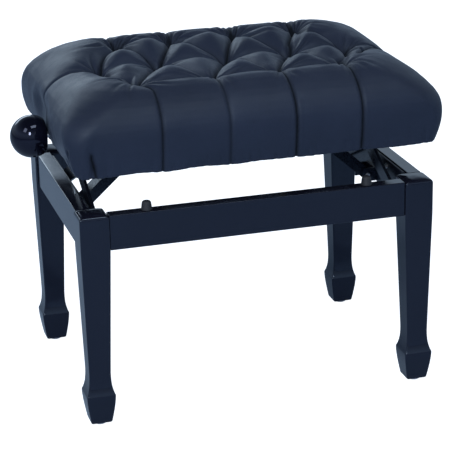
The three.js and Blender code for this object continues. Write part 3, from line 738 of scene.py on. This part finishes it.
# soft gathers at the corners, near the lower edge
gathers = []
for sx in (-1, 1):
    for sy in (-1, 1):
        for k, (du, dv, amp, tall, wide) in enumerate(((0.0, 22.0, 3.0, 46, 3.0), (26.0, 0.0, 3.6, 40, 2.8), (1.0, 1.0, 3.2, 34, 3.2), (12.0, 0.0, 2.2, 24, 2.2), (58.0, 0.0, 1.6, 30, 3.2), (0.0, 52.0, 1.8, 34, 3.4), (0.0, 9.0, 1.8, 26, 2.2))):
            gathers.append((sx * (PA - du), sy * (PB - dv), tall, wide, amp * (1.0 if sx == sy else 0.35)))
# small puckers along the lower edge where the leather is stapled
for u in np.arange(-PA + 86, PA - 80, 31.0):
    for sy in (-1, 1):
        gathers.append((u + rng.uniform(-8, 8), sy * PB, rng.uniform(9, 20), rng.uniform(2.4, 4.0), rng.uniform(0.5, 1.3)))
for v in np.arange(-PB + 84, PB - 78, 29.0):
    for sx in (-1, 1):
        gathers.append((sx * PA, v + rng.uniform(-8, 8), rng.uniform(9, 20), rng.uniform(2.4, 4.0), rng.uniform(0.5, 1.3)))

S = np.array([q for seam in seams for q in seam])
# draw the nearest grid points onto each seam, so a crease is a clean line
flat = KDTree(len(S))
for i, q in enumerate(S):
    flat.insert(Vector((q[0], q[1], 0)), i)
flat.balance()
for i in range(2, nu - 1):
    for j in range(2, nv - 1):
        q, k, d = flat.find(Vector((GU[i, j], GV[i, j], 0)))
        if d < 0.56 * STEP:
            GU[i, j], GV[i, j] = S[k, 0], S[k, 1]
base = cover_point(GU, GV)
SP = cover_point(S[:, 0], S[:, 1])
kd = KDTree(len(SP))
for i, p in enumerate(SP):
    kd.insert(Vector(p), i)
kd.balance()

shape = base.reshape(-1, 3)
N = len(shape)
dist, idx = np.empty(N), np.empty(N, int)
for i in range(N):
    _, k, d = kd.find(Vector(shape[i]))
    dist[i], idx[i] = d, k

depth_s, wide_s = S[idx, 2], S[idx, 3]
# the middle is pulled down between the front and back rolls
sx_, sy_ = shape[:, 0], shape[:, 1]
sag = 13.5 * np.exp(-(((sy_ + 30) / 76.0) ** 2)) * np.clip((286 - np.abs(sx_)) / 75, 0, 1) ** 1.3 * np.clip((shape[:, 2] - 500) / 30, 0, 1)
z = shape[:, 2]
# pillows: round between the seams
t = np.clip(dist / wide_s, 0, 1)
pillow = 0.42 * (1 - np.sqrt(np.maximum(0, 1 - (1 - t) ** 2))) + 0.58 * (1 - t) ** 2
soft = (depth_s * pillow + sag).reshape(nu + 1, nv + 1)
# each pillow is fuller in its middle
for a, b, c in ((4, 5, 9), (9, 10, 5), (5, 6, 10), (10, 11, 6), (6, 7, 11), (11, 12, 7), (7, 8, 12), (0, 4, 5), (0, 1, 5), (1, 5, 6), (1, 2, 6), (2, 6, 7), (2, 3, 7), (3, 7, 8)):
    mu, mv = np.mean([TU[a], TU[b], TU[c]], axis=0)
    soft -= 4.5 * np.exp(-((GU - mu) ** 2 + (GV - mv) ** 2) / 24.0 ** 2)
steep = soft
for turn in range(44):
    s2 = soft.copy()
    s2[1:-1, 1:-1] = 0.4 * soft[1:-1, 1:-1] + 0.15 * (soft[:-2, 1:-1] + soft[2:, 1:-1] + soft[1:-1, :-2] + soft[1:-1, 2:])
    soft = s2
    if turn == 7:
        steep = soft
# full and round between the seams, steep beside them
w = np.clip((dist.reshape(nu + 1, nv + 1) - 2.0) / 17.0, 0, 1)
w = w * w * (3 - 2 * w)
inward = (w * soft + (1 - w) * steep).reshape(-1)
# narrow crease along each seam, with the leather standing up a little beside it
inward += S[idx, 4] * (3.8 * np.exp(-((dist / 1.8) ** 2)) - 0.6 * np.exp(-(((dist - 5.5) / 3.2) ** 2)))

# painted shade: darkness painted into the leather colour along the seams, strongest on the tight ones
painted_crease_shade = 0.92 * S[idx, 4] * np.exp(-((dist / 1.7) ** 2)) + 0.25 * S[idx, 4] * np.exp(-((dist / 4.5) ** 2))
# tufts: deep dimple, with radial pleats, and painted shade in the pit and along the pleats
PT = cover_point([q[0] for q in TU], [q[1] for q in TU])
for k, c in enumerate(PT):
    d3 = shape - c
    rr = np.linalg.norm(d3, axis=1)
    near = rr < 110
    th = np.arctan2(d3[near, 1], d3[near, 0])
    r = rr[near]
    painted_crease_shade[near] += 0.7 * np.exp(-((r / 6.0) ** 2))
    inward[near] += PIT[k] * np.exp(-((r / 12.0) ** 1.35)) + 2.5 * np.exp(-((r / 30.0) ** 2))
    count = 17 + k % 3 if k > 8 else 12 + k % 4
    start = rng.uniform(0, 6.28)
    for w in range(count):
        a = start + 2 * math.pi * (w + rng.uniform(-0.25, 0.25)) / count
        reach = rng.uniform(20, 46)
        amp = rng.uniform(1.6, 4.3) * (1.6 if k > 8 else 1.25 if k == 0 else 1.0)
        bend = rng.uniform(-0.35, 0.35)
        off = np.angle(np.exp(1j * (th - a - bend * r / 45.0))) * r
        sigma = (1.15 if k > 8 else 1.4) + r * 0.042
        env = np.exp(-((r / reach) ** 2)) * (1 - np.exp(-((r / 6.0) ** 2)))
        painted_crease_shade[near] += 0.22 * amp * env * np.exp(-((off / (0.7 * sigma)) ** 2))
        inward[near] += amp * env * (np.exp(-((off / sigma) ** 2)) - 0.45 * np.exp(-(((np.abs(off) - 2.4 * sigma) / (1.2 * sigma)) ** 2)))

moved = shape - NRM.reshape(-1, 3) * inward[:, None]

# corner gathers and slight unevenness of the lower edge
for u0, v0, tall, wide, amp in gathers:
    p0 = cover_point([u0], [v0])[0]
    lean = rng.uniform(-0.16, 0.16)
    up = shape[:, 2] - 409
    d3 = shape - p0
    horiz = np.hypot(d3[:, 0] - lean * up * (abs(v0) >= PB - 13), d3[:, 1] - lean * up * (abs(u0) >= PA - 13))
    sigma = wide + np.maximum(up, 0) * 0.06
    env = (np.exp(-((horiz / sigma) ** 2)) - 0.35 * np.exp(-(((horiz - 2.3 * sigma) / sigma) ** 2))) * np.exp(-((up / tall) ** 2))
    moved -= NRM.reshape(-1, 3) * (amp * env)[:, None]

low = np.exp(-((shape[:, 2] - 409) / 14.0) ** 2)
per = np.arctan2(shape[:, 1] / HY, shape[:, 0] / HX)
moved[:, 2] += low * (0.9 * np.sin(9 * per + 1.0) + 0.6 * np.sin(23 * per + 0.4))
# the front edge hangs a little lower in two places
moved[:, 2] -= low * np.clip((-shape[:, 1] - 150) / 40, 0, 1) * (2.4 * np.exp(-(((shape[:, 0] + 150) / 28) ** 2)) + 2.6 * np.exp(-(((shape[:, 0] - 76) / 26) ** 2)))

grid = moved.reshape(nu + 1, nv + 1, 3)
# even out the surface a little
for _ in range(1):
    g = grid.copy()
    g[1:-1, 1:-1] = 0.6 * grid[1:-1, 1:-1] + 0.1 * (grid[:-2, 1:-1] + grid[2:, 1:-1] + grid[1:-1, :-2] + grid[1:-1, 2:])
    grid = g

# keep clear of the ball knob beside the left side
def ease(a):
    a = np.clip(a, 0, 1)
    return a * a * (3 - 2 * a)


push = ease((84 - np.abs(grid[..., 1])) / 48) * ease((506 - grid[..., 2]) / 50)
gx = grid[..., 0]
gx[...] = np.where(gx < -230, gx + push * (np.maximum(gx, -287.8) - gx), gx)
# the back left shoulder is a little slacker than the others
gx += 7.4 * ease((-gx - 215) / 75) * ease((grid[..., 1] + 20) / 120) * ease((grid[..., 2] - 412) / 70)

# so is the front of the right shoulder, and the front right corner stands out a little below it
gx -= 4.4 * ease((gx - 205) / 60) * ease((grid[..., 2] - 468) / 34) * ease((110 - grid[..., 1]) / 150)
gx += 1.8 * ease((gx - 235) / 45) * ease((-grid[..., 1] - 90) / 80) * ease((474 - grid[..., 2]) / 30)

verts = [at(*p) for p in grid.reshape(-1, 3)]
vid = lambda i, j: i * (nv + 1) + j
faces = [(vid(i, j), vid(i + 1, j), vid(i + 1, j + 1), vid(i, j + 1)) for i in range(nu) for j in range(nv)]
# hem: rolls under the seat frame, then the hollow for the board
loop = [vid(i, 0) for i in range(nu)] + [vid(nu, j) for j in range(nv)] + [vid(i, nv) for i in range(nu, 0, -1)] + [vid(0, j) for j in range(nv, 0, -1)]
hem = []
for inset, dz in ((0.5, -1.2), (2.0, -2.0), (3.6, -1.9), (4.2, -0.4), (4.45, 3.0)):
    ring = []
    for q in loop:
        p = grid.reshape(-1, 3)[q]
        cx = np.clip(p[0], -274.35, 274.35)
        cy = np.clip(p[1], -200.35, 200.35)
        dvec = np.array([cx - p[0], cy - p[1]])
        L = np.linalg.norm(dvec)
        k = inset / 4.45
        ring.append(len(verts))
        verts.append(at(p[0] + dvec[0] * k, p[1] + dvec[1] * k, p[2] + dz))
    hem.append(ring)
wall = []
for q in loop:
    p = grid.reshape(-1, 3)[q]
    wall.append(len(verts))
    verts.append(at(np.clip(p[0], -274.35, 274.35), np.clip(p[1], -200.35, 200.35), 452.2))
rings = [loop, *hem, wall]
n = len(loop)
for a, b in zip(rings[:-1], rings[1:]):
    for k in range(n):
        faces.append((a[k], a[(k + 1) % n], b[(k + 1) % n], b[k]))
c = len(verts)
verts.append(at(0, 0, 452.2))
for k in range(n):
    faces.append((wall[k], wall[(k + 1) % n], c))
cushion = link("leather_cushion", verts, faces, "leather")
fix_normals(cushion)
# the painted crease shade goes onto the leather as a point attribute that the material reads
painted_shade_attr = cushion.data.attributes.new("fold_and_shade", "FLOAT", "POINT")
values = np.zeros(len(cushion.data.vertices), np.float32)
values[: len(painted_crease_shade)] = np.clip(painted_crease_shade, 0, 1)
painted_shade_attr.data.foreach_set("value", values)
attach(cushion, "seat")
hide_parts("cushion")


# ------------------------------------------------------------------ stage
def area(name, loc, look, size, power, colour=(1, 1, 1), size_y=None):
    l = bpy.data.lights.new(name, "AREA")
    l.energy, l.color = power, colour
    l.shape = "RECTANGLE"
    l.size, l.size_y = size, size_y or size
    o = bpy.data.objects.new(name, l)
    o.location = loc
    o.rotation_mode = "QUATERNION"
    o.rotation_quaternion = (Vector(look) - Vector(loc)).to_track_quat("-Z", "Y")
    scene.collection.objects.link(o)
    return o


world = bpy.data.worlds.new("studio")
scene.world = world
world.use_nodes = True
wn = world.node_tree
bg = wn.nodes["Background"]
bg.inputs["Color"].default_value = (0.64, 0.81, 1.0, 1)
bg.inputs["Strength"].default_value = 0.46
# bright round the horizon, dark overhead, as a studio with a dark ceiling is
sky = wn.nodes.new("ShaderNodeTexCoord")
up = wn.nodes.new("ShaderNodeSeparateXYZ")
wn.links.new(sky.outputs["Generated"], up.inputs["Vector"])
fall = wn.nodes.new("ShaderNodeValToRGB")
while len(fall.color_ramp.elements) < 4:
    fall.color_ramp.elements.new(0.5)
for e, (p, level) in zip(fall.color_ramp.elements, ((0.05, 0.46), (0.32, 0.80), (0.58, 0.34), (0.84, 0.05))):
    e.position, e.color = p, (level, level, level, 1)
wn.links.new(up.outputs["Z"], fall.inputs["Fac"])
wn.links.new(fall.outputs["Color"], bg.inputs["Strength"])
seen = wn.nodes.new("ShaderNodeBackground")
seen.inputs["Color"].default_value = (1, 1, 1, 1)
seen.inputs["Strength"].default_value = 1.0
path = wn.nodes.new("ShaderNodeLightPath")
pick = wn.nodes.new("ShaderNodeMixShader")
wn.links.new(path.outputs["Is Camera Ray"], pick.inputs["Fac"])
wn.links.new(bg.outputs["Background"], pick.inputs[1])
wn.links.new(seen.outputs["Background"], pick.inputs[2])
wn.links.new(pick.outputs["Shader"], wn.nodes["World Output"].inputs["Surface"])

area("key_left", (-2.3, -1.5, 2.9), (0, 0, 0.4), 0.95, 16, (0.90, 0.94, 1.0), 1.25)
area("window", (-1.3, -3.0, 2.2), (0, 0, 0.4), 0.6, 46, (0.94, 0.97, 1.0), 0.9)
area("overhead", (0.3, -1.15, 3.2), (0, 0, 0.45), 1.7, 20, (0.90, 0.97, 1.0), 0.7)
area("low_back", (-0.9, 3.9, 1.80), (0, 0, 0.35), 2.8, 26, (0.74, 0.88, 1.0), 0.9)

floor_me = bpy.data.meshes.new("floor")
floor_me.from_pydata([(-30, -30, 0), (30, -30, 0), (30, 30, 0), (-30, 30, 0)], [], [(0, 1, 2, 3)])
floor = bpy.data.objects.new("floor", floor_me)
scene.collection.objects.link(floor)
fm = bpy.data.materials.new("pale_floor")
fm.use_nodes = True
nt = fm.node_tree
fb = nt.nodes["Principled BSDF"]
fb.inputs["Base Color"].default_value = (0.46, 0.56, 0.70, 1)
fb.inputs["Roughness"].default_value = 0.9
fb.inputs["Specular IOR Level"].default_value = 0.0
em = nt.nodes.new("ShaderNodeEmission")
em.inputs["Color"].default_value = (1.0, 1.0, 1.0, 1)
lp = nt.nodes.new("ShaderNodeLightPath")
glow = nt.nodes.new("ShaderNodeMapRange")
glow.inputs["To Min"].default_value = 0.0
glow.inputs["To Max"].default_value = 1.0
nt.links.new(lp.outputs["Is Camera Ray"], glow.inputs["Value"])
nt.links.new(glow.outputs["Result"], em.inputs["Strength"])
add = nt.nodes.new("ShaderNodeAddShader")
nt.links.new(fb.outputs["BSDF"], add.inputs[0])
nt.links.new(em.outputs["Emission"], add.inputs[1])
nt.links.new(add.outputs["Shader"], nt.nodes["Material Output"].inputs["Surface"])
floor_me.materials.append(fm)

bpy.context.view_layer.update()
